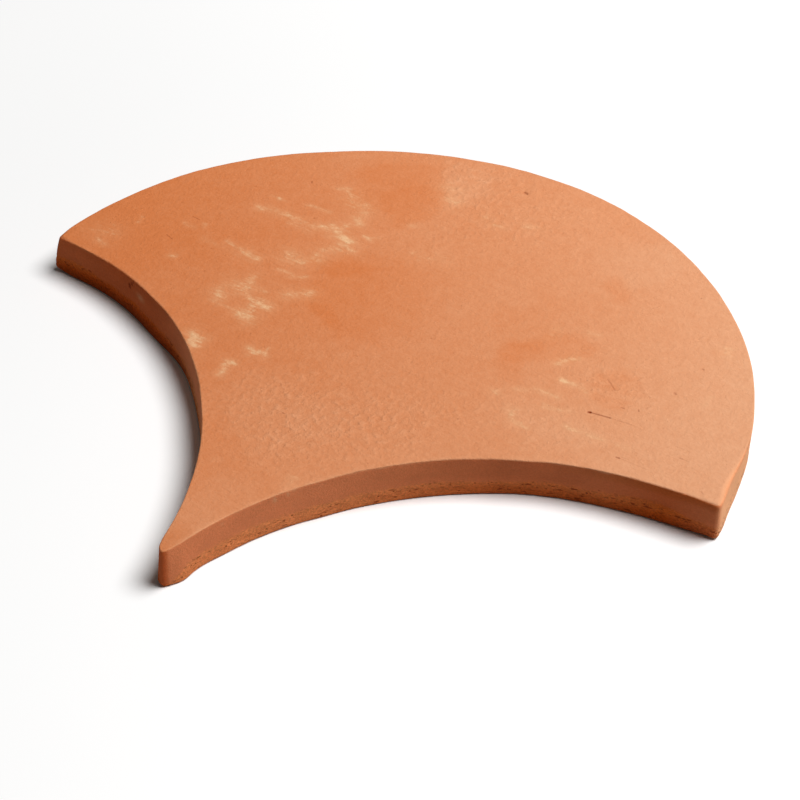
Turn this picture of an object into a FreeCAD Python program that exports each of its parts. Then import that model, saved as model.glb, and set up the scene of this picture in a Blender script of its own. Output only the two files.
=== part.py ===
import FreeCAD, Part
import math
import os

# A fish-scale tile for floors and walls: one fired clay body with a half-round nose,
# two hollow flanks that take the noses of the neighbouring tiles, and a narrow tail.
# Millimetres. The tile lies flat with its smooth face up. The origin is on the
# underside, below the centre of the nose's half circle. +Y points at the nose,
# -Y at the tail, and +X at the right ear, the corner where nose and flank meet.

# Driving dimensions
NOSE_RADIUS = 100.0
THICKNESS = 13.0
TAIL_WIDTH = 3.2
EAR_ROUND = 2.2
TAIL_ROUND = 1.4
TOP_ARRIS = 0.8
BOTTOM_ARRIS = 1.2

# A neighbour's nose nests in each flank, so a flank has the nose's own radius.
# Its centre is straight below the ear, which leaves the ear square.
FLANK_RADIUS = NOSE_RADIUS
FLANK_CENTRE = FreeCAD.Vector(NOSE_RADIUS, -FLANK_RADIUS, 0)

# The flanks would run on to a point. The tail is cut off square where it is this wide.
TAIL_HALF = TAIL_WIDTH / 2
FLANK_END_ANGLE = math.acos((TAIL_HALF - FLANK_CENTRE.x) / FLANK_RADIUS)
TAIL_Y = FLANK_CENTRE.y + FLANK_RADIUS * math.sin(FLANK_END_ANGLE)

# How much of the clay beside a corner its rounding may take, at most
CORNER_SHARE = 0.9

ORIGIN = FreeCAD.Vector(0, 0, 0)
UP = FreeCAD.Vector(0, 0, 1)
SIDEWAYS = FreeCAD.Vector(1, 0, 0)
MIDDLE = THICKNESS / 2


def arc(centre, radius, start, end):
    """Edge along a circle in the plane of the underside, between two angles."""
    return Part.ArcOfCircle(Part.Circle(centre, UP, radius), start, end).toShape()


def outline():
    """The face inside the nose, the two flanks and the cut tail."""
    nose = arc(ORIGIN, NOSE_RADIUS, 0, math.pi)
    right_flank = arc(FLANK_CENTRE, FLANK_RADIUS, math.pi / 2, FLANK_END_ANGLE)
    left_flank = right_flank.mirror(ORIGIN, SIDEWAYS)
    tail_left = FreeCAD.Vector(-TAIL_HALF, TAIL_Y, 0)
    tail_right = FreeCAD.Vector(TAIL_HALF, TAIL_Y, 0)
    tail = Part.makeLine(tail_left, tail_right)
    edges = Part.__sortEdges__([nose, left_flank, tail, right_flank])
    return Part.Face(Part.Wire(edges))


def upright_edges(body):
    """The edges of a body that cross its middle height."""
    return [edge for edge in body.Edges if edge.BoundBox.ZMin < MIDDLE < edge.BoundBox.ZMax]


def ear_edges(body):
    """The upright edges on the nose's side of the tile."""
    return [edge for edge in upright_edges(body) if edge.BoundBox.Center.y > TAIL_Y / 2]


def tail_edges(body):
    """The upright edges on the tail's side of the tile."""
    return [edge for edge in upright_edges(body) if edge.BoundBox.Center.y < TAIL_Y / 2]


def top_edges(body):
    """The edges round the smooth face."""
    return [edge for edge in body.Edges if edge.BoundBox.ZMin > MIDDLE]


def bottom_edges(body):
    """The edges round the underside."""
    return [edge for edge in body.Edges if edge.BoundBox.ZMax < MIDDLE]


def tile():
    """The outline made solid, its upright corners rounded first, then both arrises."""
    tail_round = min(TAIL_ROUND, CORNER_SHARE * TAIL_HALF)
    bottom_arris = min(BOTTOM_ARRIS, CORNER_SHARE * tail_round)
    body = outline().extrude(UP * THICKNESS)
    body = body.makeFillet(EAR_ROUND, ear_edges(body))
    body = body.makeFillet(tail_round, tail_edges(body))
    body = body.makeFillet(TOP_ARRIS, top_edges(body))
    return body.makeFillet(bottom_arris, bottom_edges(body))


def main():
    body = tile()
    os.makedirs("parts", exist_ok=True)
    body.exportStep("parts/tile.step")
    size = body.optimalBoundingBox()
    print("solids", len(body.Solids), "valid", body.isValid(), "faces", len(body.Faces))
    print("size", round(size.XLength, 3), round(size.YLength, 3), round(size.ZLength, 3))
    print("tail end at y", round(size.YMin, 3), "volume", round(body.Volume, 1))


main()
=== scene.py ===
import math

import bpy
import numpy as np
from mathutils import Matrix, Vector


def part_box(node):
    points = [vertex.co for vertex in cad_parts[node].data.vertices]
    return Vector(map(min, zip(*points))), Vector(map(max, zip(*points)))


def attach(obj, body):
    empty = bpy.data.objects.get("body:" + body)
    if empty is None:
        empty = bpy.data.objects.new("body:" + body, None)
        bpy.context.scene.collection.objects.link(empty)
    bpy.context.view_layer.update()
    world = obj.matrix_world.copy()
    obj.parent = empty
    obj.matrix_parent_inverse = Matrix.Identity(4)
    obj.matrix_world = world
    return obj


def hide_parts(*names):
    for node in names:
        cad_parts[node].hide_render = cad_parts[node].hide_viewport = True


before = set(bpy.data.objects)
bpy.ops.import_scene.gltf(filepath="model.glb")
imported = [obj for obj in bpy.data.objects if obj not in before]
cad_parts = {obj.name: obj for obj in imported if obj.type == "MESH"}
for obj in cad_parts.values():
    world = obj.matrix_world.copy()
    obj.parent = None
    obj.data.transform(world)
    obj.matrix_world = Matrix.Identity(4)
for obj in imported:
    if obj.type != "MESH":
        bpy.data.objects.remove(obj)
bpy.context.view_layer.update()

# A hand-made fish-scale tile of fired clay. Shapes are worked out in millimetres, in the
# frame of the CAD solid, and turned into metres when they become a mesh.
MM = 0.001
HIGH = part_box("tile")[1]
NOSE_RADIUS = HIGH.y / MM
THICKNESS = HIGH.z / MM

# The outline. A flank has the nose's radius, with its centre below the ear. The tail is cut with
# a slight bulge, and a leg is how far the rounding of a corner reaches along either side of it.
FLANK_X = NOSE_RADIUS
FLANK_Y = -NOSE_RADIUS
TAIL_HALF = 1.65
TAIL_BULGE = 0.25
TAIL_LEG = 1.2
EAR_LEG = 1.4

# Where the hand-made outline leaves the clean arcs, all the way down: x, y, the way it moves
# in degrees, how far round that place it reaches, and by how much
OUTLINE_SHIFTS = (
    (17, 98, 80, 20, 0.55),
    (-26, 97, 105, 12, -0.3),
    (-52, 85, 121, 24, -1.1),
    (-66, 75, 131, 14, -0.4),
    (-88, 48, 151, 13, 0.25),
    (-99, 16, 172, 22, 0.5),
    (-100, 6, 180, 6, 0.2),
    (42, 91, 66, 16, 0.62),
    (-17, 98, 100, 9, 0.12),
    (70, 71, 46, 12, 0.15),
    (85, 52, 31, 14, 0.2),
    (96, 29, 16, 9, 0.45),
    (99, 12, 187, 5, 0.2),
    (101, 0, 0, 6, 1.1),
    (88, -1, 277, 12, 0.4),
    (61, -8, 293, 11, -0.15),
    (30, -29, 315, 26, -0.1),
    (-2, -78, 0, 12, 0.3),
    (1.8, -82, 170, 2.2, 0.6),
    (0.4, -82, 302, 1.8, 1.0),
    (-1.8, -81.5, 32, 2, 0.35),
    (54.6, -10.9, 297, 5, 0.3),
    (18, -42.6, 325, 5, 0.2),
    (-91, 0, 267, 8, 0.4),
    (-50, -13, 240, 12, -0.15),
    (-24, -35, 220, 14, 0.2),
)

# How the walls lean: the same numbers for the underside, fading to nought at the smooth face
LEANS = (
    (-100, 0, 185, 9, 3.4),
    (-92, 0, 85, 10, 0.9),
    (-60, -8, 248, 12, 1.2),
    (-30, -29, 225, 14, 0.9),
    (-15, -47, 212, 13, 1.0),
    (0, -82, 180, 10, 1.1),
    (-1.6, -82, 185, 3, 0.7),
    (1.8, -82, 350, 2.2, 0.4),
    (0.4, -82, 122, 1.8, 0.8),
    (99, -1, 122, 5, 0.7),
    (54.6, -10.9, 117, 5, 0.4),
    (3, -78, 350, 3, 0.8),
    (4, -71, 170, 4, 0.3),
    (36, -23, 130, 60, 1.1),
    (58, -9, 115, 20, 0.8),
    (92, 0, 95, 20, 1.3),
    (8, -60, 157, 17, 0.65),
    (102, 6, 10, 9, 0.4),
    (97, 24, 194, 8, 0.3),
    (91, 42, 24, 12, 0.35),
)

# Where the walls stand out half way up: the same numbers
BULGES = ((-100, 0, 185, 9, 0.45),)

# The profile of the edge, from the smooth face down to the underside
TOP_ARRIS = 0.35
BOTTOM_ARRIS = 0.4

# Where an arris is rounder: x, y, how far that reaches, and by how much
TOP_ROUNDER = ((-100, 1, 3.5, 0.7), (101, 8, 9, 1.1))
BOTTOM_ROUNDER = ((-100, 0, 4, 2.0), (100, 1, 3.5, 0.5), (0, -82, 2, 0.4))

# Below this y the tile narrows to its tail. The bottom arris there is at most a share of the half
# width, and the relief of the walls fades to a share of itself as that width falls
TAIL_TOP = -40
TAIL_ARRIS_SHARE = 0.4
TAIL_ARRIS_LEAST = 0.3
TAIL_RELIEF_SHARE = 0.3
TAIL_RELIEF_WIDTHS = (1.5, 6)

# The relief of the walls comes in over this height, from the underside up
RELIEF_BEGINS = (0, 1)

# How fine the mesh is: cells along each of the four sides, rows down the edge, and how many
# cells of the smooth face go to one of the underside, which begins a little inside its edge
SIDE_CELLS = 252
TOP_ROWS = 3
WALL_ROWS = 16
BOTTOM_ROWS = 4
UNDER_STEP = 3
UNDER_INSET = 0.3

# Points on each stretch of the outline before it is walked in equal steps
DENSE = 4000

# Unevenness, as rows of noise: by how much, how wide its blobs are, and the seed
FACE_WAVES = ((0.07, 41, 1), (0.04, 15, 2), (0.02, 5, 3))
BORDER_WAVES = ((0.45, 17, 4), (0.25, 5, 5))
WALL_WAVES = ((0.12, 19, 6),)
WALL_DENTS = ((0.05, 6, 9),)
TORN_RIDGES = ((0.10, 0.9, 7),)
TORN_CRUMBS = ((0.07, 1.3, 8),)
TOP_ARRIS_WAVES = ((0.35, 9, 10), (0.2, 2.5, 11))
BOTTOM_ARRIS_WAVES = ((0.16, 13, 12), (0.1, 3, 13))
UNDER_WAVES = ((0.12, 17, 30), (0.03, 3, 31))

# The random values repeat after this many cells of the noise
LATTICE = 32

# The underside's middle height over the floor, and its least one
UNDER_HEIGHT = 0.15
UNDER_LEAST = 0.02

# How far the level ridges of the torn band are drawn out, and over what height they begin
RIDGE_STRETCH = (3.5, 3.5, 1)
RIDGES_BEGIN = (-0.4, 0.6)

# The line between the smooth upper wall and the torn band: its middle height, and the places
# where it rises or, below nought, falls, as x, y, reach and height
BORDER_HEIGHT = 4.9
BORDER_RISES = ((84, -1, 8, 1.5), (62, -7, 8, 0.6), (-93, 0, 8, 1.2), (25, -33, 12, -0.4), (1, -82, 4, -4.5))

# Lumps and dents of the smooth face: x, y, reach and height
LUMPS = (
    (-0.4, 90.9, 1.7, 0.2),
    (-2.6, 89.3, 1.3, -0.2),
    (-3.3, 93.2, 1.0, -0.12),
    (-5.3, 87.8, 1.0, 0.08),
    (2.2, 83.6, 1.1, -0.12),
    (8.4, 78.6, 1.2, 0.09),
    (7.3, 75.4, 1.2, 0.08),
    (-20, 86, 3.5, 0.12),
    (-24, 84, 1.5, 0.10),
    (-14, 83, 1.6, -0.08),
    (-22, 78, 3.0, 0.10),
    (-17, 91, 3.0, -0.12),
    (17.5, 50.5, 1.3, 0.10),
    (19.6, 51.4, 0.9, 0.08),
    (25.5, -12.6, 1.6, 0.10),
    (28.3, -17.5, 1.4, 0.08),
    (-57, 60.8, 0.7, 0.10),
    (94, 4, 3.0, -0.10),
)


def arc(centre_x, centre_y, radius, start, end):
    """Points along a circle between two angles in degrees: centre plus radius times (cos, sin)."""
    angle = np.radians(np.linspace(start, end, DENSE))
    return np.stack([centre_x + radius * np.cos(angle), centre_y + radius * np.sin(angle)], 1)


def bend(before, corner, after):
    """A corner rounded by a parabola: (1-t)^2 before + 2t(1-t) corner + t^2 after."""
    t = np.linspace(0, 1, DENSE)[:, None]
    return (1 - t) ** 2 * before + 2 * t * (1 - t) * corner + t ** 2 * after


def spaced(points, count):
    """The same line with count equal steps: x and y as functions of the length walked."""
    step = np.hypot(*np.diff(points, axis=0).T)
    walked = np.concatenate([[0], np.cumsum(step)])
    at = np.linspace(0, walked[-1], count + 1)
    return np.stack([np.interp(at, walked, points[:, k]) for k in (0, 1)], 1)


def right_sides():
    """The right half of the outline as two sides: tail middle to ear, and ear to nose top."""
    radius = NOSE_RADIUS
    tail_angle = math.degrees(math.acos((TAIL_HALF - FLANK_X) / radius))
    tail_leg_angle = math.degrees(TAIL_LEG / radius)
    ear_leg_angle = math.degrees(EAR_LEG / radius)
    flank = arc(FLANK_X, FLANK_Y, radius, tail_angle - tail_leg_angle, 90 + ear_leg_angle)
    tail_corner = arc(FLANK_X, FLANK_Y, radius, tail_angle, tail_angle)[0]
    cut = np.stack([np.linspace(0, TAIL_HALF, DENSE), np.full(DENSE, tail_corner[1])], 1)
    cut[:, 1] -= TAIL_BULGE * (1 - (cut[:, 0] / TAIL_HALF) ** 2)
    cut = cut[cut[:, 0] < TAIL_HALF - TAIL_LEG]
    nose = arc(0, 0, radius, ear_leg_angle, 90)
    ear = bend(flank[-1], np.array([radius, 0.0]), nose[0])
    half = DENSE // 2
    lower = np.concatenate([cut, bend(cut[-1], tail_corner, flank[0]), flank, ear[:half]])
    upper = np.concatenate([ear[half - 1:], nose])
    return spaced(lower, SIDE_CELLS), spaced(upper, SIDE_CELLS)


def closed_outline():
    """All round the tile, counter-clockwise from the tail, with no point twice: the right sides
    and then their mirror images at -x, walked back."""
    right = right_sides()
    left = [(side * (-1, 1))[::-1] for side in right[::-1]]
    return np.concatenate([side[:-1] for side in (*right, *left)])


def outward(ring):
    """Unit normals of a closed ring: the direction from last to next point, turned by 90 degrees."""
    along = np.roll(ring, -1, axis=0) - np.roll(ring, 1, axis=0)
    along /= np.linalg.norm(along, axis=1)[:, None]
    return np.stack([along[:, 1], -along[:, 0]], 1)


def patch(ring, cells):
    """The face inside a ring of four sides: the bilinear blend of opposite sides less the corners.

    With s from tail to right ear and t from tail to left ear it is
    (1-t) low(s) + t high(s) + (1-s) left(t) + s right(t) - corners."""
    low = ring[0:cells + 1]
    right = ring[cells:2 * cells + 1]
    high = ring[2 * cells:3 * cells + 1][::-1]
    left = np.concatenate([ring[3 * cells:], ring[:1]])[::-1]
    s = np.linspace(0, 1, cells + 1)[:, None, None]
    t = np.linspace(0, 1, cells + 1)[None, :, None]
    blend = (1 - t) * low[:, None] + t * high[:, None] + (1 - s) * left[None] + s * right[None]
    corners = (1 - s) * (1 - t) * low[0] + s * (1 - t) * low[-1]
    corners = corners + (1 - s) * t * high[0] + s * t * high[-1]
    return blend - corners


def smooth(value, low, high):
    """0 below low and 1 above high, with 3t^2 - 2t^3 between."""
    t = np.clip((value - low) / (high - low), 0, 1)
    return t * t * (3 - 2 * t)


def noise(points, size, seed):
    """Smooth noise from -1 to 1: random values on a cubic lattice of this size, eased between."""
    values = np.random.default_rng(seed).uniform(-1, 1, (LATTICE, LATTICE, LATTICE))
    scaled = points / size
    cell = np.floor(scaled).astype(int)
    part = scaled - cell
    ease = part ** 3 * (part * (part * 6 - 15) + 10)
    total = np.zeros(len(points))
    for dx in (0, 1):
        for dy in (0, 1):
            for dz in (0, 1):
                corner = (cell + (dx, dy, dz)) % LATTICE
                weight = np.abs(1 - dx - ease[:, 0]) * np.abs(1 - dy - ease[:, 1])
                weight = weight * np.abs(1 - dz - ease[:, 2])
                total += weight * values[corner[:, 0], corner[:, 1], corner[:, 2]]
    return total


def in_plan(points):
    """The points dropped to height nought."""
    return points * (1, 1, 0)


def waves(points, rows):
    """The sum of amount times noise over the rows of amount, size and seed."""
    return sum(amount * noise(points, size, seed) for amount, size, seed in rows)


def nearness(points, x, y, reach):
    """1 at x, y and less round it in plan: exp(-(distance / reach)^2)."""
    away = np.hypot(points[:, 0] - x, points[:, 1] - y)
    return np.exp(-(away / reach) ** 2)


def hills(points, places):
    """The sum of amount times nearness over the places of x, y, reach and amount."""
    return sum(amount * nearness(points, x, y, reach) for x, y, reach, amount in places)


def moved(points, shifts, share):
    """Points moved in plan by every shift: its amount times nearness, times the share."""
    result = points.copy()
    for x, y, direction, reach, amount in shifts:
        step = share * amount * nearness(points, x, y, reach)
        result[:, 0] += step * math.cos(math.radians(direction))
        result[:, 1] += step * math.sin(math.radians(direction))
    return result


def face_relief(points):
    """Height of the smooth face over its plane: noises of falling size, and the lumps and dents."""
    return waves(in_plan(points), FACE_WAVES) + hills(points, LUMPS)


def band_border(points):
    """Height of the wavy line where the smooth upper wall ends and the torn band begins."""
    return BORDER_HEIGHT + waves(in_plan(points), BORDER_WAVES) + hills(points, BORDER_RISES)


def wall_relief(points):
    """How far the wall stands out: slow waves, and below the border short level ridges."""
    torn = smooth(band_border(points) - points[:, 2], *RIDGES_BEGIN)
    ridges = waves(points / RIDGE_STRETCH, TORN_RIDGES) + waves(points, TORN_CRUMBS)
    return waves(in_plan(points), WALL_WAVES) + waves(points, WALL_DENTS) + torn * ridges


def half_widths(ring):
    """Half the tile's width at each height of the outline: R - sqrt(R^2 - rise^2), with the rise
    taken over the flanks' centres."""
    rise = (ring[:, 1] - FLANK_Y).clip(0, NOSE_RADIUS)
    return NOSE_RADIUS - np.sqrt(NOSE_RADIUS ** 2 - rise ** 2)


def arrises(ring):
    """How wide the top and the bottom arris are at each point of the outline."""
    plan = np.column_stack([ring, np.zeros(len(ring))])
    room = np.where(ring[:, 1] < TAIL_TOP, TAIL_ARRIS_SHARE * half_widths(ring), BOTTOM_ARRIS)
    top = TOP_ARRIS * (1 + waves(plan, TOP_ARRIS_WAVES))
    bottom = BOTTOM_ARRIS * (1 + waves(plan, BOTTOM_ARRIS_WAVES))
    bottom = np.minimum(bottom, np.maximum(room, TAIL_ARRIS_LEAST))
    return top + hills(plan, TOP_ROUNDER), bottom + hills(plan, BOTTOM_ROUNDER)


def edge_rings():
    """The rings down the edge of the tile, and the clean places they come from.

    A ring is the outline drawn in by an inset, at a height: r (1 - sin a) and r (1 - cos a) on
    the two quarter circles of the arrises, with an upright wall between. Each point is then
    moved along the outline's normal by the wall's relief."""
    ring = closed_outline()
    normal = outward(ring)
    top_arris, bottom_arris = arrises(ring)
    upright = np.zeros(len(ring))
    rows = []
    for angle in np.linspace(0, math.pi / 2, TOP_ROWS + 1):
        rows.append((top_arris * (1 - math.sin(angle)), THICKNESS - top_arris * (1 - math.cos(angle))))
    for share in np.linspace(0, 1, WALL_ROWS + 1)[1:-1]:
        rows.append((upright, (1 - share) * (THICKNESS - top_arris) + share * bottom_arris))
    for angle in np.linspace(0, math.pi / 2, BOTTOM_ROWS + 1):
        rows.append((bottom_arris * (1 - math.cos(angle)), bottom_arris * (1 - math.sin(angle))))
    clean = [np.column_stack([ring - normal * inset[:, None], height]) for inset, height in rows]
    wide = smooth(half_widths(ring), *TAIL_RELIEF_WIDTHS)
    at_tail = TAIL_RELIEF_SHARE + (1 - TAIL_RELIEF_SHARE) * wide
    relief_share = np.where(ring[:, 1] < TAIL_TOP, at_tail, 1)
    made = []
    for points in clean:
        out = wall_relief(points) * smooth(points[:, 2], *RELIEF_BEGINS) * relief_share
        made.append(points + np.column_stack([normal * out[:, None], upright]))
    return clean, made


def skin():
    """Clean places and made points of the whole skin, with its faces: a grid of cells on top,
    the rings down the edge, a strip of larger faces, and a coarser grid below."""
    n = SIDE_CELLS
    clean, made = edge_rings()
    top = patch(made[0][:, :2], n).reshape(-1, 2)
    top = np.column_stack([top, np.full(len(top), THICKNESS)])
    top_index = np.arange((n + 1) ** 2).reshape(n + 1, n + 1)
    places, points, faces = [top], [top], grid_faces(top_index, True).tolist()
    above = rim(top_index)
    start = len(top)
    for place, point in zip(clean[1:], made[1:]):
        below = np.arange(start, start + len(point))
        quads = np.stack([above, below, np.roll(below, -1), np.roll(above, -1)], 1)
        faces += quads.tolist()
        places.append(place)
        points.append(point)
        above = below
        start += len(point)
    coarse = n // UNDER_STEP
    foot = made[-1][::UNDER_STEP, :2]
    under = patch(foot - UNDER_INSET * outward(foot), coarse).reshape(-1, 2)
    under = np.column_stack([under, np.zeros(len(under))])
    under_index = start + np.arange((coarse + 1) ** 2).reshape(coarse + 1, coarse + 1)
    inner = rim(under_index)
    outer = above.reshape(-1, UNDER_STEP)
    strip = [outer[:, 0], inner, np.roll(inner, -1), np.roll(outer[:, 0], -1)]
    strip += [outer[:, k] for k in range(UNDER_STEP - 1, 0, -1)]
    faces += np.stack(strip, 1).tolist()
    faces += grid_faces(under_index, False).tolist()
    places.append(under)
    points.append(under)
    return np.concatenate(places), np.concatenate(points), faces


def grid_faces(index, up):
    """Quads of a grid of vertex numbers, facing up or down."""
    corners = [index[:-1, :-1], index[1:, :-1], index[1:, 1:], index[:-1, 1:]]
    if not up:
        corners = corners[::-1]
    return np.stack([c.ravel() for c in corners], 1)


def rim(index):
    """The numbers round the edge of a grid, counter-clockwise from its first corner."""
    return np.concatenate([index[:-1, 0], index[-1, :-1], index[:0:-1, -1], index[0, :0:-1]])


# Chalk on the smooth face: from x, y to x, y, half width and strength
CHALK = (
    (-48.0, 63.2, -45.6, 63.5, 0.9, 0.55),
    (-46.0, 63.2, -43.0, 61.2, 0.8, 0.5),
    (-42.0, 60.6, -38.0, 58.0, 2.4, 0.4),
    (-37.4, 58.8, -35.8, 56.0, 2.0, 0.5),
    (-42.8, 56.8, -39.6, 56.6, 0.6, 0.38),
    (-51.0, 50.9, -43.8, 50.8, 0.6, 0.45),
    (-35.2, 52.6, -33.6, 51.0, 1.5, 0.64),
    (-36.0, 49.0, -36.6, 46.6, 1.3, 0.52),
    (-62.6, 48.9, -57.8, 48.8, 0.5, 0.3),
    (-59.9, 48.8, -59.2, 48.7, 0.6, 1.1),
    (-62.0, 42.4, -53.0, 43.0, 1.1, 0.56),
    (-53.0, 42.6, -43.0, 43.2, 1.5, 0.38),
    (-50.5, 40.8, -42.0, 40.6, 1.2, 0.24),
    (-43.6, 43.2, -37.6, 43.9, 1.2, 0.64),
    (-39.0, 45.6, -36.6, 43.4, 1.6, 0.68),
    (-37.0, 43.8, -31.2, 41.8, 1.8, 0.8),
    (-33.8, 43.4, -31.4, 41.4, 1.4, 0.98),
    (-29.2, 46.2, -27.0, 45.7, 0.7, 0.6),
    (-27.0, 46.4, -25.4, 48.2, 0.6, 0.3),
    (-31.8, 40.0, -28.4, 38.4, 1.8, 0.54),
    (-31.6, 37.4, -34.4, 34.6, 2.0, 0.48),
    (-35.0, 31.6, -33.0, 29.8, 1.7, 0.55),
    (-41.6, 27.4, -37.0, 26.4, 2.1, 0.54),
    (-60.0, 23.4, -54.0, 22.6, 0.7, 0.48),
    (-55.0, 22.9, -52.0, 22.4, 0.9, 0.52),
    (-52.0, 22.0, -48.4, 21.2, 1.5, 0.57),
    (-66.0, 21.2, -54.0, 20.7, 0.8, 0.24),
    (-40.4, 20.9, -35.8, 20.7, 0.6, 0.5),
    (-35.2, 19.8, -31.8, 21.2, 0.7, 0.38),
    (-31.2, 12.4, -29.0, 14.0, 1.8, 0.6),
    (-29.0, 14.2, -26.4, 16.0, 1.9, 0.58),
    (-43.8, 12.8, -42.2, 10.6, 1.7, 0.58),
    (-41.2, 10.5, -37.2, 10.4, 0.8, 0.45),
    (-45.6, 9.0, -41.6, 7.4, 2.9, 0.5),
    (-47.4, 3.8, -46.0, 1.6, 2.0, 0.54),
    (-39.4, 6.0, -37.4, 5.2, 0.9, 0.72),
    (-36.2, 5.4, -33.2, 4.8, 1.8, 0.76),
    (-36.6, 3.6, -35.4, 0.6, 2.0, 0.54),
    (-37.0, -0.8, -34.0, -1.6, 1.9, 0.76),
    (-45.6, -1.3, -38.0, -1.0, 0.8, 0.36),
    (-42.6, -15.2, -39.4, -15.6, 1.5, 0.86),
    (-41.4, -16.6, -38.8, -18.2, 1.4, 0.92),
    (-26.6, -11.4, -25.0, -12.6, 0.8, 0.8),
    (-24.8, -12.6, -22.0, -11.8, 0.9, 0.8),
    (-22.4, -9.2, -22.2, -10.8, 0.4, 0.6),
    (-28.0, -20.2, -25.8, -18.9, 0.9, 0.76),
    (-26.8, -22.2, -26.2, -23.8, 1.0, 0.8),
    (-90.4, 6.4, -87.4, 4.6, 1.3, 0.46),
    (-93.0, 8.6, -88.6, 9.8, 2.6, 0.28),
    (-68.8, 9.6, -67.4, 10.2, 0.8, 0.45),
    (-74.8, 24.4, -71.4, 24.4, 0.6, 0.42),
    (-70.0, 26.9, -69.0, 26.0, 0.5, 0.45),
    (-86.6, 20.0, -85.6, 17.4, 0.6, 0.3),
    (47.0, 30.6, 44.4, 28.6, 0.9, 0.55),
    (44.6, 28.6, 43.2, 26.8, 1.0, 0.62),
    (47.6, 20.8, 51.0, 20.7, 0.7, 0.82),
    (51.0, 20.6, 54.8, 20.2, 0.6, 0.55),
    (43.4, 13.6, 49.4, 14.3, 0.8, 0.48),
    (39.4, 11.6, 41.6, 12.0, 0.8, 0.42),
    (48.6, 9.8, 54.8, 10.6, 0.8, 0.42),
    (56.8, 5.4, 60.8, 5.4, 0.7, 0.55),
    (62.4, 5.7, 66.6, 5.7, 0.7, 0.55),
    (71.4, 6.3, 73.6, 6.5, 0.6, 0.38),
    (42.8, 3.6, 44.0, 1.2, 1.1, 0.5),
    (44.8, 0.3, 49.4, 0.0, 0.7, 0.48),
    (35.2, 7.3, 36.0, 7.6, 0.9, 0.45),
    (43.8, 41.9, 47.0, 41.8, 0.6, 0.38),
    (35.7, 38.8, 36.8, 36.6, 1.3, 0.28),
    (77.0, 54.4, 77.8, 53.2, 1.2, 0.45),
    (82.0, 35.0, 81.6, 31.0, 0.5, 0.26),
    (-5.8, 73.2, -5.6, 72.0, 0.9, 0.42),
    (-2.0, 71.0, 0.2, 71.0, 0.8, 0.4),
    (6.6, 75.2, 8.2, 75.4, 1.1, 0.44),
    (-19.0, 75.4, -16.5, 74.8, 1.8, 0.42),
    (-22.5, 80.0, -19.0, 79.0, 2.4, 0.34),
    (-13.6, 46.9, -13.4, 46.7, 0.5, 0.8),
    (-21.0, 58.6, -20.6, 58.0, 0.9, 0.44),
    (-11.0, 47.6, -4.0, 48.4, 2.6, 0.18),
    (11.5, -46.5, 12.3, -48.5, 1.1, 0.32),
)

# Soft patches of the smooth face: x, y, half length, half width, turn in degrees, how much
# of that is border, and how much paler (or, below nought, deeper) the clay is there
PATCHES = (
    (-33, 70, 17, 13, 100, 0.8, -0.14),
    (-27, 68, 12, 7, 100, 0.6, -0.08),
    (-20, 85, 12, 6, 110, 0.8, 0.14),
    (-12, 24, 18, 20, 0, 0.9, -0.16),
    (-18, 9, 3.6, 2.8, 0, 1.0, -0.10),
    (-25, 32, 8, 4, 10, 0.8, -0.12),
    (39, 31, 11, 5.5, 38, 0.6, -0.14),
    (33, 22, 9, 4, 96, 0.8, -0.10),
    (29, 38, 12, 9, 60, 1.0, -0.06),
    (42, 61.5, 7.5, 3.2, -42, 0.9, -0.13),
    (43, 76, 12, 8, 30, 1.0, 0.10),
    (53, 4, 13, 6, 5, 1.0, 0.08),
    (38, 30, 26, 62, 0, 1.2, -0.08),
    (61.0, 27.0, 5, 4, 20, 1.0, -0.18),
    (61.5, 19.5, 4, 2.6, 0, 1.0, -0.14),
    (80, 54, 2.4, 2.0, 0, 1.0, -0.12),
    (26, 92, 16, 5, -14, 1.0, -0.06),
    (-54, 78, 6, 4, 40, 1.0, 0.08),
    (-80, 25, 22, 25, 90, 1.0, -0.04),
    (-6, -30, 16, 12, 0, 1.2, 0.12),
    (0, -72, 12, 9, 90, 1.0, 0.12),
    (0, -80, 8, 6, 90, 1.2, -0.25),
)

# Where the smooth face is pebbly: x, y, half length, half width, turn, border and strength
PEBBLES = (
    (0, -30, 27, 16, 0, 1.2, 0.95),
    (24, -14, 11, 9, 60, 1.4, 0.35),
    (12, -8, 22, 16, 0, 1.4, 0.35),
    (-20, 86, 14, 9, 100, 1.2, 0.7),
    (4, 82, 22, 16, 0, 1.4, 0.6),
    (-8, 60, 18, 14, 20, 1.4, 0.45),
    (-38, 88, 12, 6, 35, 1.4, 0.5),
    (60, 26, 8, 7, 0, 1.4, 0.55),
    (50, 2, 20, 9, 0, 1.4, 0.35),
    (60, 40, 44, 50, 0, 1.4, 0.2),
)

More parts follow.
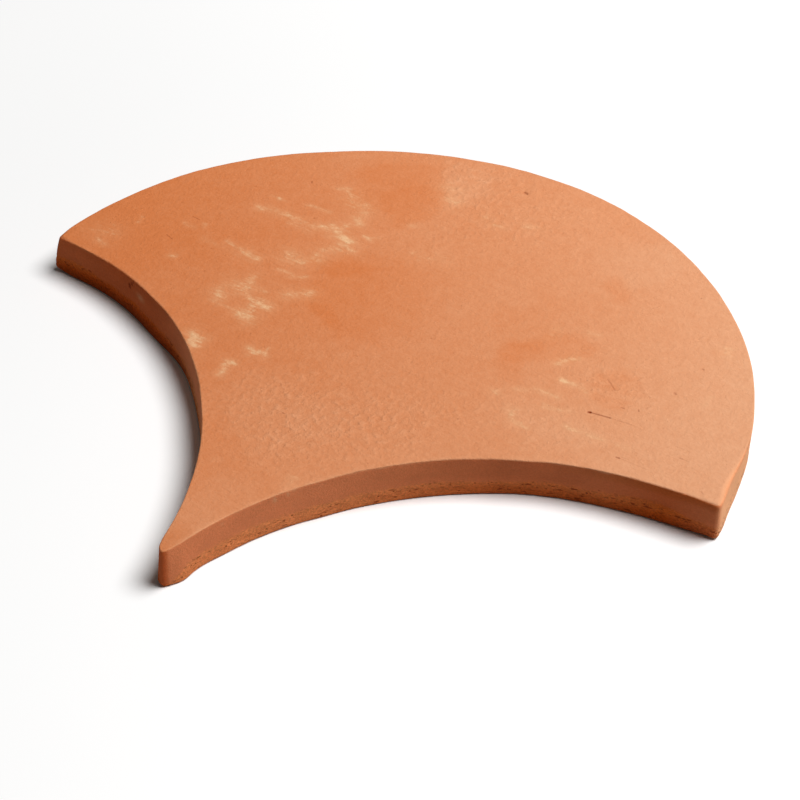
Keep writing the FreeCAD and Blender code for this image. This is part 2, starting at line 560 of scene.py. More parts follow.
# Pores and short level cracks of the walls: the flank's side (1 right, -1 left), the place
# round it in degrees, the height, half length, half height and strength
PORES = (
    (1, 169.4, 10.8, 0.35, 0.3, 0.7),
    (1, 169.1, 9.2, 0.5, 0.35, 0.8),
    (1, 167.6, 7.6, 0.3, 0.3, 0.6),
    (1, 166.7, 4.0, 0.35, 0.3, 0.7),
    (1, 166.4, 4.8, 0.5, 0.35, 0.8),
    (1, 165.9, 2.6, 0.4, 0.35, 0.7),
    (1, 162.7, 4.6, 0.5, 0.3, 0.8),
    (1, 158.8, 4.7, 0.6, 0.4, 1.0),
    (1, 156.6, 5.3, 0.3, 0.3, 0.7),
    (1, 151.0, 2.8, 0.5, 0.4, 1.0),
    (1, 147.5, 4.2, 2.0, 0.22, 0.6),
    (1, 144.0, 4.6, 0.5, 0.35, 0.8),
    (1, 139.5, 3.7, 0.5, 0.35, 0.8),
    (1, 137.0, 3.9, 0.6, 0.45, 1.0),
    (1, 135.3, 2.5, 0.4, 0.3, 0.8),
    (1, 131.0, 4.3, 0.5, 0.3, 0.9),
    (1, 131.0, 2.8, 0.4, 0.3, 0.8),
    (1, 128.3, 4.2, 0.6, 0.35, 0.8),
    (1, 125.9, 4.6, 0.5, 0.45, 0.9),
    (1, 123.9, 3.5, 0.7, 0.3, 0.7),
    (1, 121.8, 4.7, 0.5, 0.5, 0.9),
    (1, 119.6, 3.3, 1.7, 0.26, 0.9),
    (1, 116.2, 4.1, 1.3, 0.35, 1.0),
    (1, 115.2, 4.6, 0.6, 0.3, 0.8),
    (1, 112.6, 5.3, 0.4, 0.35, 0.7),
    (1, 111.1, 5.4, 0.5, 0.4, 1.0),
    (1, 109.7, 5.2, 0.4, 0.35, 0.7),
    (1, 106.3, 5.6, 0.5, 0.4, 1.0),
    (1, 104.6, 4.9, 0.5, 0.35, 0.8),
    (1, 104.0, 5.7, 0.8, 0.3, 0.8),
    (1, 100.4, 5.9, 0.6, 0.35, 0.9),
    (1, 99.4, 4.3, 1.9, 0.35, 1.1),
    (1, 97.5, 6.1, 0.9, 0.4, 1.0),
    (1, 97.4, 3.7, 1.2, 0.45, 1.1),
    (1, 95.2, 4.0, 1.1, 0.45, 1.1),
    (1, 93.0, 3.0, 1.6, 0.3, 0.9),
    (1, 92.5, 5.4, 0.5, 0.3, 0.7),
    (1, 91.0, 1.7, 0.5, 0.45, 1.1),
    (-1, 88.0, 4.6, 0.9, 0.4, 0.9),
    (-1, 86.4, 3.8, 0.8, 0.4, 0.9),
    (-1, 84.6, 5.6, 0.6, 0.4, 0.9),
    (-1, 83.5, 5.9, 0.9, 0.35, 1.0),
    (-1, 81.2, 4.3, 0.7, 0.35, 0.8),
    (-1, 78.0, 4.5, 1.0, 0.35, 0.8),
    (-1, 74.0, 3.4, 2.0, 0.3, 0.7),
    (-1, 73.7, 10.0, 0.7, 1.05, 1.3),
    (-1, 73.1, 11.2, 0.5, 0.9, 1.2),
    (-1, 72.6, 12.2, 0.4, 0.75, 1.0),
    (-1, 65.0, 11.6, 1.8, 0.3, 0.6),
    (-1, 61.5, 11.9, 1.4, 0.3, 0.6),
)

# Light flecks of the walls, written like the pores
FLECKS = (
    (1, 152.3, 11.3, 0.4, 0.8, 0.6),
    (1, 150.3, 11.7, 0.4, 0.6, 0.5),
    (1, 149.4, 12.5, 0.8, 0.4, 0.4),
    (-1, 70.7, 8.9, 1.6, 0.9, 0.36),
    (1, 145.5, 11.4, 0.7, 0.3, 0.3),
    (1, 160.5, 11.2, 0.5, 0.3, 0.3),
)

# Scratches and pits of the smooth face: from x, y to x, y, half width and depth. Below nought
# it is a fine raised line
SCRATCHES = (
    (59.1, 13.4, 59.4, 13.5, 0.62, 1.5),
    (59.4, 13.5, 64.5, 14.3, 0.4, 0.9),
    (64.5, 14.3, 70.0, 14.9, 0.34, 0.25),
    (64.0, 15.5, 72.8, 15.1, 0.36, -0.4),
    (72.6, 2.2, 73.2, 2.3, 0.42, 0.8),
    (73.2, 2.3, 80.5, 2.2, 0.28, 0.16),
    (73.6, 2.9, 75.2, 3.1, 0.3, 0.2),
    (85.6, 10.3, 86.2, 10.3, 0.4, 0.35),
    (86.2, 10.3, 88.0, 10.2, 0.26, 0.2),
    (95.0, 2.3, 95.8, 1.7, 0.36, 0.3),
    (73.6, 31.8, 74.1, 31.4, 0.55, 0.6),
    (75.4, 44.3, 75.7, 44.2, 0.45, 0.6),
    (69.0, 20.9, 69.3, 20.4, 0.36, 0.6),
    (65.0, 19.4, 65.8, 19.4, 0.34, 0.5),
    (57.0, 27.4, 60.5, 24.6, 0.4, 0.35),
    (-75.0, 28.1, -72.6, 27.9, 0.3, 0.5),
    (-75.6, 17.0, -73.2, 16.2, 0.34, 0.5),
    (-57.0, 61.0, -56.6, 60.4, 0.45, 0.7),
    (-4.4, -28.0, -4.0, -28.0, 0.4, 0.6),
    (-2.6, 89.8, -1.6, 89.4, 0.6, 0.8),
)

# How borders are made ragged: the seeds of the coarse and the fine noise along x and along y,
# and the fine one's size and strength as shares of the coarse one's
COARSE_SEEDS = (20, 22)
FINE_SEEDS = (21, 23)
FINE_SIZE = 0.36
FINE_STRENGTH = 0.5

# The coarse noise's size and strength, for strokes and for patches
STROKE_WANDER = (3.1, 0.5)
PATCH_WANDER = (11, 3.5)


def wandering(points, size, amount):
    """Points pushed about in plan by a coarse and a fine noise, so that borders turn ragged."""
    plan = in_plan(points)
    coarse = np.stack([noise(plan, size, seed) for seed in COARSE_SEEDS], 1)
    fine = np.stack([noise(plan, size * FINE_SIZE, seed) for seed in FINE_SEEDS], 1)
    result = points.copy()
    result[:, :2] += amount * (coarse + FINE_STRENGTH * fine)
    return result


def strokes(points, lines, wider=1):
    """How strong the lines are at each point: the most of strength times exp(-(d / width)^2).

    d is the distance in plan to the line from one of its ends to the other, and every width is
    taken wider times."""
    points = wandering(points, *STROKE_WANDER)
    total = np.zeros(len(points))
    for x0, y0, x1, y1, width, strength in lines:
        start, along = np.array([x0, y0]), np.array([x1 - x0, y1 - y0])
        from_start = points[:, :2] - start
        t = np.clip(from_start @ along / (along @ along), 0, 1)
        away = np.linalg.norm(from_start - t[:, None] * along, axis=1)
        total = np.maximum(total, strength * np.exp(-(away / (width * wider)) ** 2))
    return total


def patches(points, shapes):
    """The sum of soft ellipses: full inside, fading to nought over the border's share."""
    plan = wandering(points, *PATCH_WANDER)
    total = np.zeros(len(points))
    for x, y, length, width, turn, border, amount in shapes:
        c, s = math.cos(math.radians(turn)), math.sin(math.radians(turn))
        dx, dy = plan[:, 0] - x, plan[:, 1] - y
        away = np.hypot((c * dx + s * dy) / length, (c * dy - s * dx) / width)
        total += amount * smooth(1 - away, -border / 2, border / 2)
    return total


def wall_spots(points, spots):
    """The most of strength times exp(-(along / length)^2 - (up / rise)^2) over the spots, with
    along and up measured from a spot's middle."""
    total = np.zeros(len(points))
    for side, degrees, height, length, rise, strength in spots:
        angle = math.radians(degrees)
        x = side * FLANK_X + NOSE_RADIUS * math.cos(angle)
        y = FLANK_Y + NOSE_RADIUS * math.sin(angle)
        along = np.hypot(points[:, 0] - x, points[:, 1] - y) / length
        total = np.maximum(total, strength * np.exp(-along ** 2 - ((points[:, 2] - height) / rise) ** 2))
    return total


# Where the clay's look changes, in millimetres: a pair is where a change begins and where it is
# full. The wall begins below the smooth face, and the flanks begin below the ears
WALL_BEGINS = (0.08, 0.34)
FLANKS_BEGIN = (-0.9, 0)

# The side away from the lamp, where the walls' colours are deepened as painted shade: the right
# flank and its ear, the left side and, a little less in the shade, its ear, all along x, and the
# tail's cut, along -y
LEE_FLANK = (10, 60)
LEE_EAR = (70, 95)
LEE_LEFT = (30, 64)
LEE_LEFT_EAR = (75, 95)
LEE_LEFT_EAR_LESS = 0.15
LEE_TAIL_CUT = (80.8, 82)

# Painted shade at the foot of the walls, deep orange and darker, most of it away from the lamp:
# its height, how much higher it is on the left, its fade, and its strength in the light, what the
# shade adds, and what the left side adds
FOOT_HEIGHT = 5
FOOT_HIGHER = 0.8
FOOT_FADE = (0, 3.5)
FOOT_LIT = 0.10
FOOT_LEE = 0.90
FOOT_MORE = 0.3

# Painted shade at the head of the walls, deeper and darker: up, along the right flank, and weaker
# on the left
HEAD_UP = (9.3, 11.2)
HEAD_RIGHT = (55, 80)
HEAD_LEFT = (20, 60)
HEAD_LEFT_SHARE = 0.25

# How pale the smooth face is: where x is nought and y is at its middle, and how that grows with
# x and with the square of x, partly the clay's own tone and partly painted sheen, and with y down
# to a lowest one, as painted light
PALE_LEVEL = 0.38
PALE_SLOPE_X = 0.0047
PALE_CURVE_X = 0.000012
PALE_SLOPE_Y = 0.0018
PALE_MIDDLE_Y = 25
LOWEST_Y = -15

# How light the smooth face is, more with y as painted light: 1 where y is at its middle, more
# with y, and less at the tail
LIGHT_SLOPE_Y = 0.0011
LIGHT_MIDDLE_Y = 15
TAIL_DARKER = 0.06
TAIL_DARK = (70, 80)

# A painted highlight, the paler rim of the smooth face along the flanks: its width, strength,
# middle and unevenness
RIM_WIDTH = 0.9
RIM_HIGHLIGHT = 0.14
RIM_LEVEL = 0.6
RIM_WAVES = ((0.6, 1.9, 24),)

# Painted shade, where the walls are a little darker: the right flank, along x and up, and the
# left foot, down
FLANK_DARKER = 0.10
FLANK_DARK_X = (22, 50)
FLANK_DARK_UP = (5, 7)
LEFT_DARKER = 0.24
LEFT_DARK_HEIGHT = 4.5
LEFT_DARK_FADE = (0, 3)

# The part of the nose's wall that faces the lamp, painted paler and brighter as painted light:
# along y, along x, down, and its share at the top
SUNNY_Y = (-1, 3)
SUNNY_X = (40, 95)
SUNNY_DOWN = (0.5, 3)
SUNNY_AT_TOP = 0.5

# Chalk lies as a haze this many times wider than its strokes. Pebbles are at most this strong
HAZE_WIDER = 1.9
MOST_PEBBLES = 1.2


def lee_side(x, flank, left):
    """How far a wall lies away from the lamp: the mean of flank and ear on the right, and all of
    it on the left but for the ear's small loss."""
    right = flank * (smooth(x, *LEE_FLANK) + smooth(x, *LEE_EAR)) / 2
    return right + left - LEE_LEFT_EAR_LESS * smooth(-x, *LEE_LEFT_EAR)


def paleness(places):
    """How pale the face is: level + a x + b x^2 + c (y - middle), with its patches, and the rim
    of strength exp(-(d / width)^2) at d from a flank. The slope in x is partly the clay's own
    tone and partly painted sheen, the slope in y is painted light, and the rim is a painted
    highlight."""
    x, y = places[:, 0], places[:, 1]
    in_from_flank = np.hypot(np.abs(x) - FLANK_X, y - FLANK_Y) - NOSE_RADIUS
    edge = np.exp(-(in_from_flank / RIM_WIDTH) ** 2) * (RIM_LEVEL + waves(in_plan(places), RIM_WAVES))
    pale = PALE_LEVEL + PALE_SLOPE_X * x + PALE_CURVE_X * x ** 2
    pale += PALE_SLOPE_Y * (np.maximum(y, LOWEST_Y) - PALE_MIDDLE_Y)
    return pale + patches(places, PATCHES) + RIM_HIGHLIGHT * edge


def lightness(x, y, z, wall, flank, left):
    """What the colours are multiplied by: 1 + a (y - middle) on the face, as painted light, and 1 on
    most walls, less where painted shade darkens them.
    """
    face = 1 + LIGHT_SLOPE_Y * (np.maximum(y, LOWEST_Y) - LIGHT_MIDDLE_Y)
    face -= TAIL_DARKER * smooth(-y, *TAIL_DARK)
    darker = FLANK_DARKER * flank * smooth(x, *FLANK_DARK_X) * smooth(z, *FLANK_DARK_UP)
    darker += LEFT_DARKER * left * smooth(LEFT_DARK_HEIGHT - z, *LEFT_DARK_FADE)
    return (1 - wall) * face + wall * (1 - darker)


def clay_marks(places):
    """The numbers each vertex hands to the shader, by name."""
    x, y, z = places.T
    wall = smooth(THICKNESS - z, *WALL_BEGINS)
    face = 1 - wall
    flank = smooth(-y, *FLANKS_BEGIN)
    left = smooth(-x, *LEE_LEFT)
    lee = lee_side(x, flank, left)
    foot = smooth(FOOT_HEIGHT + FOOT_HIGHER * left - z, *FOOT_FADE)
    head = flank * smooth(x, *HEAD_RIGHT) + HEAD_LEFT_SHARE * smooth(-x, *HEAD_LEFT)
    sunny = smooth(y, *SUNNY_Y) * smooth(x, *SUNNY_X)
    down = SUNNY_AT_TOP + (1 - SUNNY_AT_TOP) * smooth(THICKNESS - z, *SUNNY_DOWN)
    return {
        "wall": wall,
        "band": band_border(places) - z,
        "foot": foot * (FOOT_LIT + FOOT_LEE * lee.clip(0, 1) + FOOT_MORE * left),
        "head": smooth(z, *HEAD_UP) * head * wall,
        "pale": paleness(places),
        "level": lightness(x, y, z, wall, flank, left),
        "chalk": strokes(places, CHALK) * face,
        "haze": strokes(places, CHALK, HAZE_WIDER) * face,
        "pebble": patches(places, PEBBLES).clip(0, MOST_PEBBLES) * face,
        "pore": wall_spots(places, PORES) * wall,
        "fleck": wall_spots(places, FLECKS) * wall,
        "lee": (lee + smooth(-y, *LEE_TAIL_CUT)).clip(0, 1),
        "sunny": sunny * down,
    }


def tile_mesh():
    """The skin as one closed mesh in metres, with its marks as point attributes.

    With h from 0 at the underside to 1 at the face, the outline's shifts count in full, the
    leans 1 - h times, the bulges 4 h (1 - h) times, the face's relief h^2 times and the
    underside's (1 - h)^4 times."""
    places, points, faces = skin()
    high = points[:, 2] / THICKNESS
    points = moved(points, OUTLINE_SHIFTS, 1)
    points = moved(points, LEANS, 1 - high)
    points = moved(points, BULGES, 4 * high * (1 - high))
    under = (UNDER_HEIGHT + waves(in_plan(points), UNDER_WAVES)).clip(UNDER_LEAST)
    points[:, 2] += high ** 2 * face_relief(points) + (1 - high) ** 4 * under
    mesh = bpy.data.meshes.new("tile_skin")
    mesh.from_pydata((points * MM).tolist(), [], faces)
    for name, values in clay_marks(places).items():
        layer = mesh.attributes.new(name, "FLOAT", "POINT")
        layer.data.foreach_set("value", values.astype(np.float32))
    mesh.shade_smooth()
    mesh.update()
    return mesh


class Term:
    """A shader socket that takes part in sums: each operator adds one Math node."""

    def __init__(self, finish, socket):
        self.finish = finish
        self.socket = socket

    def maths(self, operation, first, second):
        """One Math node with two values."""
        return self.finish.node("ShaderNodeMath", {"operation": operation}, {0: first, 1: second})

    def __add__(self, other):
        return self.maths("ADD", self, other)

    def __radd__(self, other):
        return self.maths("ADD", other, self)

    def __sub__(self, other):
        return self.maths("SUBTRACT", self, other)

    def __rsub__(self, other):
        return self.maths("SUBTRACT", other, self)

    def __mul__(self, other):
        return self.maths("MULTIPLY", self, other)

    def __rmul__(self, other):
        return self.maths("MULTIPLY", other, self)

    def most(self, other):
        """The larger of the two."""
        return self.maths("MAXIMUM", self, other)

    def ease(self, low, high):
        """0 below low and 1 above high, with a smooth step between."""
        settings = {"interpolation_type": "SMOOTHSTEP"}
        return self.finish.node("ShaderNodeMapRange", settings, {0: self, 1: low, 2: high})


class Finish:
    """The node tree of one material."""

    def __init__(self, name):
        self.material = bpy.data.materials.new(name)
        self.material.use_nodes = True
        self.tree = self.material.node_tree
        self.tree.nodes.clear()

    def node(self, kind, settings=None, inputs=None, output=0):
        """Any node: its settings first, then a value or a link for each named socket."""
        made = self.tree.nodes.new(kind)
        for key, value in (settings or {}).items():
            setattr(made, key, value)
        for key, value in (inputs or {}).items():
            if isinstance(value, Term):
                self.tree.links.new(value.socket, made.inputs[key])
            else:
                made.inputs[key].default_value = value
        return Term(self, made.outputs[output]) if made.outputs else made

    def vector(self, operation, inputs, output=0):
        """One Vector Math node."""
        return self.node("ShaderNodeVectorMath", {"operation": operation}, inputs, output)

    def mix(self, share, first, second):
        """A colour between two, by a share from 0 to 1. Sockets 6, 7 and 2 are a Mix node's colours."""
        return self.node("ShaderNodeMix", {"data_type": "RGBA"}, {0: share, 6: first, 7: second}, 2)

    def shaded(self, colour, factor):
        """A colour times a number."""
        return self.vector("SCALE", {0: colour, "Scale": factor})

    def stretched(self, place, factors):
        """A place times one factor along each axis."""
        return self.vector("MULTIPLY", {0: place, 1: factors})

    def place(self):
        """The place on the piece, in metres."""
        return self.node("ShaderNodeTexCoord", output="Object")

    def mark(self, name):
        """A number the mesh holds at each point."""
        return self.node("ShaderNodeAttribute", {"attribute_name": name}, output="Fac")

    def noise(self, place, size, detail, roughness, stretch=None):
        """Noise from 0 to 1 whose blobs are about size wide, at a place that is stretched first."""
        if stretch:
            place = self.stretched(place, stretch)
        inputs = {"Vector": place, "Scale": 1 / size, "Detail": detail, "Roughness": roughness}
        return self.node("ShaderNodeTexNoise", None, inputs)

    def swing(self, place, *kind):
        """The same noise less its middle, from -0.5 to 0.5."""
        return self.noise(place, *kind) - 0.5

    def line_distance(self, plan, x0, y0, x1, y1):
        """Distance from the line between two points: |d - t along|, t being the share along it."""
        along = np.array([x1 - x0, y1 - y0, 0.0])
        from_start = self.vector("SUBTRACT", {0: plan, 1: (x0, y0, 0)})
        share = self.vector("DOT_PRODUCT", {0: from_start, 1: along / (along @ along)}, "Value")
        share = self.node("ShaderNodeClamp", None, {0: share})
        nearest = self.shaded(along, share)
        return self.vector("DISTANCE", {0: from_start, 1: nearest}, "Value")

    def cells(self, place, size):
        """Distance to the nearest of scattered points, in shares of their spacing."""
        return self.node("ShaderNodeTexVoronoi", None, {"Vector": place, "Scale": 1 / size})

    def surfaced(self, inputs):
        """The material, once its surface has these inputs."""
        surface = self.node("ShaderNodeBsdfPrincipled", None, inputs)
        self.node("ShaderNodeOutputMaterial", None, {"Surface": surface})
        return self.material


# Clay colours, as linear light
DEEP_CLAY = (0.660, 0.201, 0.065, 1)
PALE_CLAY = (0.730, 0.358, 0.194, 1)
# Chalk's colour, which also paints the highlight on the seam between face and wall
CHALK_AND_HIGHLIGHT = (0.830, 0.500, 0.270, 1)
# The walls' lit and lee copies of one clay, and the torn band's below them: painted light where a wall faces
# the lamp, painted shade away from it
WALL_LIT = (0.820, 0.254, 0.103, 1)
WALL_LEE = (0.630, 0.126, 0.031, 1)
# Painted light on the nose's wall where it faces the lamp
WALL_SUNNY = (0.980, 0.475, 0.240, 1)
TORN_LIT = (0.900, 0.298, 0.104, 1)
TORN_LEE = (0.670, 0.120, 0.006, 1)
# Painted shade at the foot of the walls
FOOT_SHADE = (0.720, 0.100, 0.003, 1)
# Painted shade in the pores, cracks and holes of the walls and the scratches and pinholes of the face
HOLLOW_SHADE = (0.300, 0.040, 0.004, 1)

# The clay's noises: how wide the blobs are in millimetres, detail and roughness, and for some
# how the place is stretched first: a share below 1 draws the blobs out along that axis
CLOUD = (24, 4.0, 0.55)
DAPPLE = (3.2, 4.0, 0.6)
SPECKLE = (0.6, 3.0, 0.7)
FLAKE = (0.7, 3.0, 0.7, (0.6, 1, 1))
SMEAR = (1.1, 3.0, 0.6, (0.22, 1, 1))
TINT = (9, 3.0, 0.5, (1, 1, 1.8))
DUST = (0.5, 3.0, 0.7)
TATTER = (1.1, 3.0, 0.6, (0.5, 0.5, 1))
CRACK = (0.75, 2.0, 0.5, (0.28, 0.28, 1))
HOLE_ZONE = (2.3, 2.0, 0.5)
PORE_SHAPE = (0.5, 2.0, 0.6)
PEBBLE = (1.9, 3.0, 0.55)
GRAIN = (0.45, 3.0, 0.65)
PEEL = (1.2, 3.0, 0.55)
DRAG = (0.9, 2.0, 0.5, (0.14, 1, 1))
CRUMB = (0.9, 4.0, 0.7, (0.45, 0.45, 1))

# Where a noise or a mark begins to show, and where it shows in full. A hole is deep up to its
# first distance, and ends at its second
FLAKE_SHOWS = (0.30, 0.70)
CHALK_SHOWS = (-0.20, 0.62)
TINT_SHOWS = (0.3, 0.7)
DUST_SHOWS = (0.44, 0.80)
TORN_SHOWS = (-0.7, 0.7)
CRACK_SHOWS = (0.61, 0.71)
HOLE_ENDS = (0.08, 0.28)
HOLE_ZONE_SHOWS = (0.46, 0.58)
PORE_SHOWS = (0.35, 0.85)
PINHOLE_ENDS = (0.018, 0.045)
PEBBLE_SHOWS = (0.38, 0.80)

# How far apart the holes of the torn band and the pinholes of the face lie, and by how much the
# band's border is tattered, in millimetres
HOLE_SPACING = 1.5
PINHOLE_SPACING = 7
TATTER_HEIGHT = 2.6

# Heights and depths of the bumps, in millimetres, then the roughness and shine of the clay
FACE_GRAIN = 0.14
FACE_PEEL = 0.26
FACE_DRAGS = 0.14
PEBBLE_HEIGHT = 0.22
FURROW_DEPTH = 0.18
WALL_GRAIN = 0.20
WALL_PEEL = 0.10
CRUMB_HEIGHT = 0.70
HOLLOW_DEPTH = 0.14
PINHOLE_DEPTH = 0.40
CLAY_ROUGHNESS = 0.85
CLAY_SHINE = 0.1

# How far each takes the smooth face towards pale clay, and how much lighter or darker it gets. On
# the bumps this is a painted highlight, and in the furrows painted shade
CLOUD_PALE = 0.26
DAPPLE_PALE = 0.28
SPECKLE_PALE = 0.46
BUMP_PALE = 0.20
SPECKLE_LIGHT = 0.06
DAPPLE_LIGHT = 0.10
BUMP_LIGHT = 0.06
FURROW_DARK = 0.12

# What the noises take from the chalk's flakes, how much flakes show and what thin ones lose, how
# much strokes show, and the haze's least and what it gains where it isn't smeared
FLAKE_TAKES = 0.48
SMEAR_TAKES = 0.36
FLAKES_SHOW = 0.60
THIN_FLAKES = 0.32
STROKES_SHOW = 0.14
HAZE_LEAST = 0.10
HAZE_MORE = 0.22

# How light the walls are, and what the tint, the grain and the torn band's grain add to it
WALL_LIGHT = 0.96
TINT_LIGHT = 0.08
GRAIN_LIGHT = 0.40
TORN_GRAIN_LIGHT = 0.8

# How much of the painted shade in furrows, hollows, the foot and the head shows at most, how
# much the foot and the head darken, and the dust on the walls
FURROW_SHOWS = 0.55
HOLLOW_SHOWS = 0.80
FOOT_SHOWS = 0.9
HEAD_SHOWS = 0.6
FOOT_DARK = 0.15
HEAD_DARK = 0.15
DUST_PALE = 0.07

# How ragged the pores are, and how pale the painted highlight on the thin line between face and
# wall is
PORE_RAGGED = 0.5
SEAM_HIGHLIGHT = 1.2


def face_colour(finish, place, furrow, bumps):
    """The smooth face: deep to pale clay in clouds, and paler and lighter on bumps as a painted
    highlight, with chalk dragged over it and painted shade in its furrows.
    """
    cloud = finish.swing(place, *CLOUD)
    dapple = finish.swing(place, *DAPPLE)
    speckle = finish.swing(place, *SPECKLE)
    pale = finish.mark("pale") + cloud * CLOUD_PALE + dapple * DAPPLE_PALE
    pale = pale + speckle * SPECKLE_PALE + bumps * BUMP_PALE
    clay = finish.mix(pale, DEEP_CLAY, PALE_CLAY)
    clay = finish.mix(chalk_dust(finish, place), clay, CHALK_AND_HIGHLIGHT)
    light = finish.mark("level") + speckle * SPECKLE_LIGHT + dapple * DAPPLE_LIGHT
    light = light + bumps * BUMP_LIGHT - furrow * FURROW_DARK
    # Painted shade in the scratches and pinholes
    return finish.mix(furrow * FURROW_SHOWS, finish.shaded(clay, light), HOLLOW_SHADE)


def chalk_dust(finish, place):
    """How much chalk lies on the face: a thin haze, and flakes where its marks beat the noise."""
    chalk = finish.mark("chalk")
    flake = finish.noise(place, *FLAKE).ease(*FLAKE_SHOWS)
    smear = finish.noise(place, *SMEAR).ease(*FLAKE_SHOWS)
    flakes = (chalk - flake * FLAKE_TAKES - smear * SMEAR_TAKES).ease(*CHALK_SHOWS)
    haze = finish.mark("haze") * (HAZE_LEAST + (1 - smear) * HAZE_MORE)
    return haze + chalk * STROKES_SHOW + flakes * (FLAKES_SHOW - flake * THIN_FLAKES)


def wall_colour(finish, place, torn):
    """The walls: brown above, torn and more orange below, both deeper on the lee side as painted
    shade, with painted shade at the foot and head and painted light where the nose's wall faces
    the lamp.
    """
    lee = finish.mark("lee")
    foot = finish.mark("foot")
    head = finish.mark("head")
    # Painted light and shade: lit and lee copies mixed by the side away from the lamp
    smooth_wall = finish.mix(lee, WALL_LIT, WALL_LEE)
    torn_wall = finish.mix(lee, TORN_LIT, TORN_LEE)
    # Painted shade at the foot of the walls, most on the side away from the lamp
    torn_wall = finish.mix(foot * FOOT_SHOWS, torn_wall, FOOT_SHADE)
    # Painted shade at the head of the walls
    wall = finish.mix(torn.most(head * HEAD_SHOWS), smooth_wall, torn_wall)
    wall = finish.mix(finish.mark("sunny"), wall, WALL_SUNNY)
    dust = finish.noise(place, *DUST).ease(*DUST_SHOWS)
    wall = finish.mix(finish.mark("fleck") + dust * DUST_PALE, wall, CHALK_AND_HIGHLIGHT)
    tint = finish.noise(place, *TINT).ease(*TINT_SHOWS)
    grain = finish.swing(place, *SPECKLE)
    # Painted shade: the foot, the head and the level darken the walls
    dark = (1 - foot * FOOT_DARK) * (1 - head * HEAD_DARK) * finish.mark("level")
    light = WALL_LIGHT + tint * TINT_LIGHT + grain * GRAIN_LIGHT + torn * grain * TORN_GRAIN_LIGHT
    return finish.shaded(wall, light * dark)


def scratches(finish, place):
    """How deep the scratches are: each falls from its middle line to nought at its width, and
    where they cross, their depths are added up."""
    plan = finish.stretched(place, (1, 1, 0))
    total = 0
    for x0, y0, x1, y1, width, depth in SCRATCHES:
        away = finish.line_distance(plan, x0, y0, x1, y1)
        total = (1 - away.ease(0, width)) * depth + total
    return total


def hollows(finish, place, torn_wall):
    """Hollows of the walls, from 0 to 1: the most of the pores and, where the wall is torn, of
    level cracks and holes."""
    crack = finish.noise(place, *CRACK).ease(*CRACK_SHOWS)
    hole = 1 - finish.cells(place, HOLE_SPACING).ease(*HOLE_ENDS)
    hole = hole * finish.noise(place, *HOLE_ZONE).ease(*HOLE_ZONE_SHOWS)
    ragged = finish.swing(place, *PORE_SHAPE)
    pore = (finish.mark("pore") + ragged * PORE_RAGGED).ease(*PORE_SHOWS)
    return pore.most(torn_wall * crack.most(hole))


def relief(finish, place, wall, torn, pebbles, furrow):
    """Height of the clay in millimetres: grain, peel, drags and pebbles less furrows on the face,
    and grain, peel and the torn band's crumbs on the walls, each noise less its middle."""
    grain = finish.swing(place, *GRAIN)
    peel = finish.swing(place, *PEEL)
    drags = finish.swing(place, *DRAG)
    crumbs = finish.swing(place, *CRUMB)
    on_face = grain * FACE_GRAIN + peel * FACE_PEEL + drags * FACE_DRAGS
    on_face = on_face + pebbles * PEBBLE_HEIGHT - furrow * FURROW_DEPTH
    on_wall = grain * WALL_GRAIN + peel * WALL_PEEL + torn * crumbs * CRUMB_HEIGHT
    return on_face * (1 - wall) + on_wall * wall


def fired_clay():
    """The material of the tile: the face's clay, the walls' clay, and a thin painted highlight
    where one turns into the other, with hollows, darkened as painted shade, and bumps in both."""
    finish = Finish("fired_clay")
    place = finish.stretched(finish.place(), (1 / MM, 1 / MM, 1 / MM))
    wall = finish.mark("wall")
    tatter = finish.swing(place, *TATTER)
    torn = (finish.mark("band") + tatter * TATTER_HEIGHT).ease(*TORN_SHOWS)
    hollow = hollows(finish, place, torn * wall)
    pinhole = 1 - finish.cells(place, PINHOLE_SPACING).ease(*PINHOLE_ENDS)
    furrow = (scratches(finish, place) + pinhole * PINHOLE_DEPTH) * (1 - wall)
    pebbles = finish.noise(place, *PEBBLE).ease(*PEBBLE_SHOWS) * finish.mark("pebble")

    face = face_colour(finish, place, furrow, pebbles)
    colour = finish.mix(wall, face, wall_colour(finish, place, torn))
    # A painted highlight on the seam between face and wall, where the wall is neither lee nor sunny
    plain = (1 - finish.mark("lee")) * (1 - finish.mark("sunny"))
    colour = finish.mix(wall * (1 - wall) * plain * SEAM_HIGHLIGHT, colour, CHALK_AND_HIGHLIGHT)
    # Painted shade in the hollows of the walls
    colour = finish.mix(hollow * HOLLOW_SHOWS, colour, HOLLOW_SHADE)
    height = relief(finish, place, wall, torn, pebbles, furrow) - hollow * HOLLOW_DEPTH
    bump = finish.node("ShaderNodeBump", None, {"Strength": 1.0, "Distance": MM, "Height": height})
    return finish.surfaced({
        "Base Color": colour,
        "Roughness": CLAY_ROUGHNESS,
        "Specular IOR Level": CLAY_SHINE,
        "Normal": bump,
    })


def placed(name, data):
    """A new object of the scene with this mesh, lamp or camera."""
    made = bpy.data.objects.new(name, data)
    bpy.context.scene.collection.objects.link(made)
    return made


def add_tile():
    """The tile, which the scene shows in place of the CAD node."""
    tile = placed("tile_clay", tile_mesh())
    tile.data.materials.append(fired_clay())
    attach(tile, "root")
    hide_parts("tile")


# The floor, in metres: its size, how far it lies below the tile, and its colour for bounced light
FLOOR_HALF = 1.6
FLOOR_DROP = 0.0001
FLOOR_BOUNCE = (0.5, 0.5, 0.5, 1)

# The floor glows a little from here outwards, so that it stays white far from the tile
FLOOR_LIFT = 0.08
FLOOR_LIFT_REACH = (0.10, 0.3)

# Painted shade: the floor, as the camera sees it, is a little darker from here on, in the
# direction of this vector
FLOOR_DIM = 0.06
FLOOR_DIM_WAY = (-0.1, -1.0, 0)
FLOOR_DIM_REACH = (0.10, 0.24)


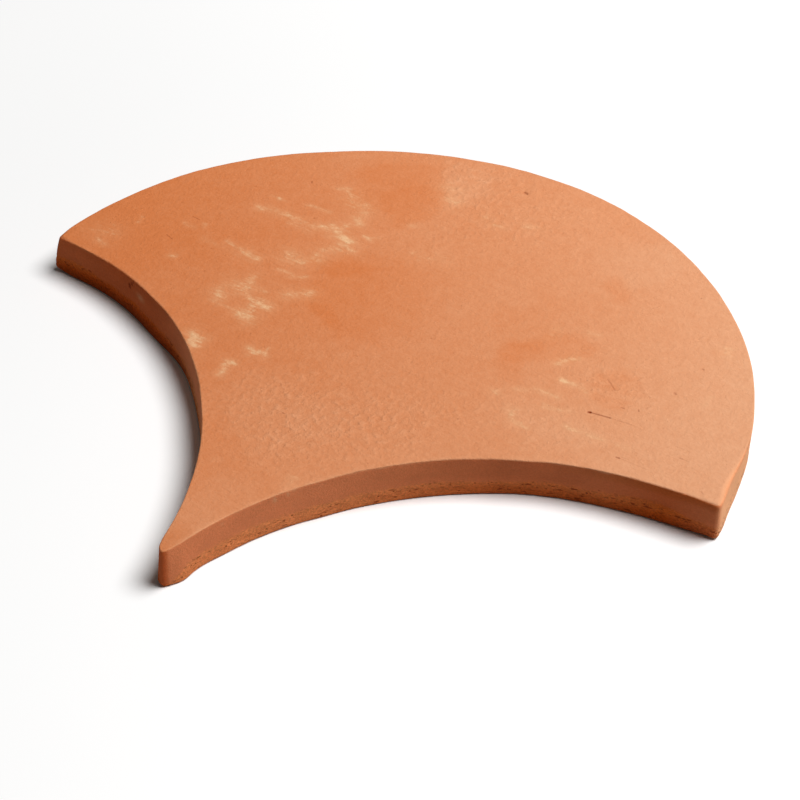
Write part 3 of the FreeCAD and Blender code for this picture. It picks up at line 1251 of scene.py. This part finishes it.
def white_floor():
    """White as the camera sees it, and grey for the light it throws back."""
    finish = Finish("white_floor")
    seen = finish.node("ShaderNodeLightPath", output="Is Camera Ray")
    place = finish.place()
    reach = finish.vector("LENGTH", {0: place}, "Value")
    near = finish.vector("DOT_PRODUCT", {0: place, 1: FLOOR_DIM_WAY}, "Value")
    bright = finish.shaded((1, 1, 1), 1 - near.ease(*FLOOR_DIM_REACH) * FLOOR_DIM)
    return finish.surfaced({
        "Base Color": finish.mix(seen, FLOOR_BOUNCE, bright),
        "Roughness": 1.0,
        "Specular IOR Level": 0.0,
        "Emission Color": (1, 1, 1, 1),
        "Emission Strength": seen * reach.ease(*FLOOR_LIFT_REACH) * FLOOR_LIFT,
    })


def add_floor():
    """One flat square just below the tile."""
    mesh = bpy.data.meshes.new("floor")
    h, z = FLOOR_HALF, -FLOOR_DROP
    corners = [(-h, -h, z), (h, -h, z), (h, h, z), (-h, h, z)]
    mesh.from_pydata(corners, [], [(0, 1, 2, 3)])
    mesh.materials.append(white_floor())
    floor = placed("floor", mesh)


def direction(azimuth, elevation):
    """The unit vector (cos a cos e, sin a cos e, sin e) of two angles in degrees."""
    a, e = math.radians(azimuth), math.radians(elevation)
    return Vector((math.cos(a) * math.cos(e), math.sin(a) * math.cos(e), math.sin(e)))


# The light: a weak warm sky, and a round lamp, with its angles in degrees and sizes in metres
SKY = 0.06
SKY_COLOUR = (1, 0.94, 0.84, 1)
KEY_AZIMUTH = 21
KEY_ELEVATION = 64
KEY_DISTANCE = 1.4
KEY_SIZE = 0.8
KEY_WATTS = 22.7


def add_light():
    """The sky, and the lamp turned towards the tile."""
    world = bpy.data.worlds.new("studio")
    world.use_nodes = True
    sky = world.node_tree.nodes["Background"]
    sky.inputs["Color"].default_value = SKY_COLOUR
    sky.inputs["Strength"].default_value = SKY
    bpy.context.scene.world = world
    lamp = bpy.data.lights.new("key", "AREA")
    lamp.shape = "DISK"
    lamp.size = KEY_SIZE
    lamp.energy = KEY_WATTS
    back = direction(KEY_AZIMUTH, KEY_ELEVATION)
    key = placed("key", lamp)
    key.location = KEY_DISTANCE * back
    key.rotation_mode = "QUATERNION"
    key.rotation_quaternion = back.to_track_quat("Z", "Y")


# The camera: its azimuth from the tail's side towards the right, its elevation and its roll in
# degrees, its distance from the target in metres, and its focal length in pixels
CAMERA_AZIMUTH = 32.25
CAMERA_ELEVATION = 39.91
CAMERA_ROLL = 0.48
CAMERA_DISTANCE = 0.49216
CAMERA_TARGET = (0.00905, 0.00511, 0.0)
CAMERA_CLIP = 0.01
FOCAL_PIXELS = 1892.9
PHOTO_PIXELS = 800
SENSOR = 36.0


def add_camera():
    """A camera whose back points from the target to it, rolled about that line."""
    r = math.radians(CAMERA_ROLL)
    back = direction(CAMERA_AZIMUTH - 90, CAMERA_ELEVATION)
    level = direction(CAMERA_AZIMUTH, 0)
    rise = back.cross(level)
    right = math.cos(r) * level + math.sin(r) * rise
    up = math.cos(r) * rise - math.sin(r) * level
    lens = bpy.data.cameras.new("camera")
    lens.sensor_width = SENSOR
    lens.lens = SENSOR * FOCAL_PIXELS / PHOTO_PIXELS
    lens.clip_start = CAMERA_CLIP
    camera = placed("camera", lens)
    turn = Matrix((right, up, back)).transposed().to_4x4()
    camera.matrix_world = Matrix.Translation(Vector(CAMERA_TARGET) + CAMERA_DISTANCE * back) @ turn
    bpy.context.scene.camera = camera


add_tile()
add_floor()
add_light()
add_camera()
bpy.context.scene.view_settings.view_transform = "Standard"
